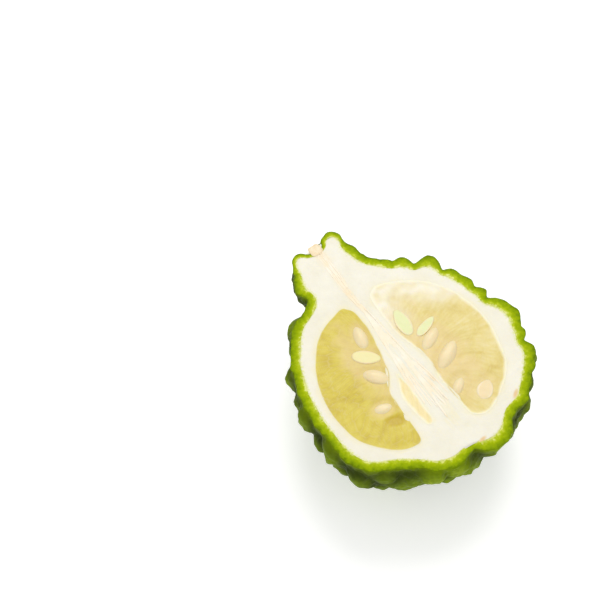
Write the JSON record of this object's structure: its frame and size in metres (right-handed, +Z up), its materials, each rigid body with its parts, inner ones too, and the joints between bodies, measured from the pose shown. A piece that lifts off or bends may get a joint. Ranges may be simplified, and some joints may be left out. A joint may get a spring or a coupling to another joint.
{
  "type": "makrut lime half",
  "caption": "Half of a makrut lime with a knobbly green rind, its cut face level and up, showing pith, pale pulp and pips.",
  "frame": {"origin": "middle of the bounding box's underside, on the surface that the half lies on", "axes": "+Y from the blossom end to the stem, +Z up, out of the cut face, +X to the right as seen from above with the stem away"},
  "size_m": [0.0638, 0.0758, 0.03],
  "materials": {
    "rind": "waxy green citrus rind, satin",
    "pith": "white spongy pith, matte",
    "pulp": "pale yellow juice sacs, wet",
    "fibre": "cream fibres of the core, matte",
    "seed": "cream pip coat, damp",
    "stalk": "pale dry stalk end"
  },
  "bodies": {
    "root": {"fruit_half": "rind", "seed_stem_right": "seed", "seed_slim_right": "seed", "seed_upper_right": "seed", "seed_middle_right": "seed", "seed_lower_right": "seed", "seed_blossom_right": "seed", "seed_stem_left": "seed", "seed_upper_left": "seed", "seed_middle_left": "seed", "seed_lower_left": "seed", "stalk_stub": "stalk"}
  },
  "joints": []
}
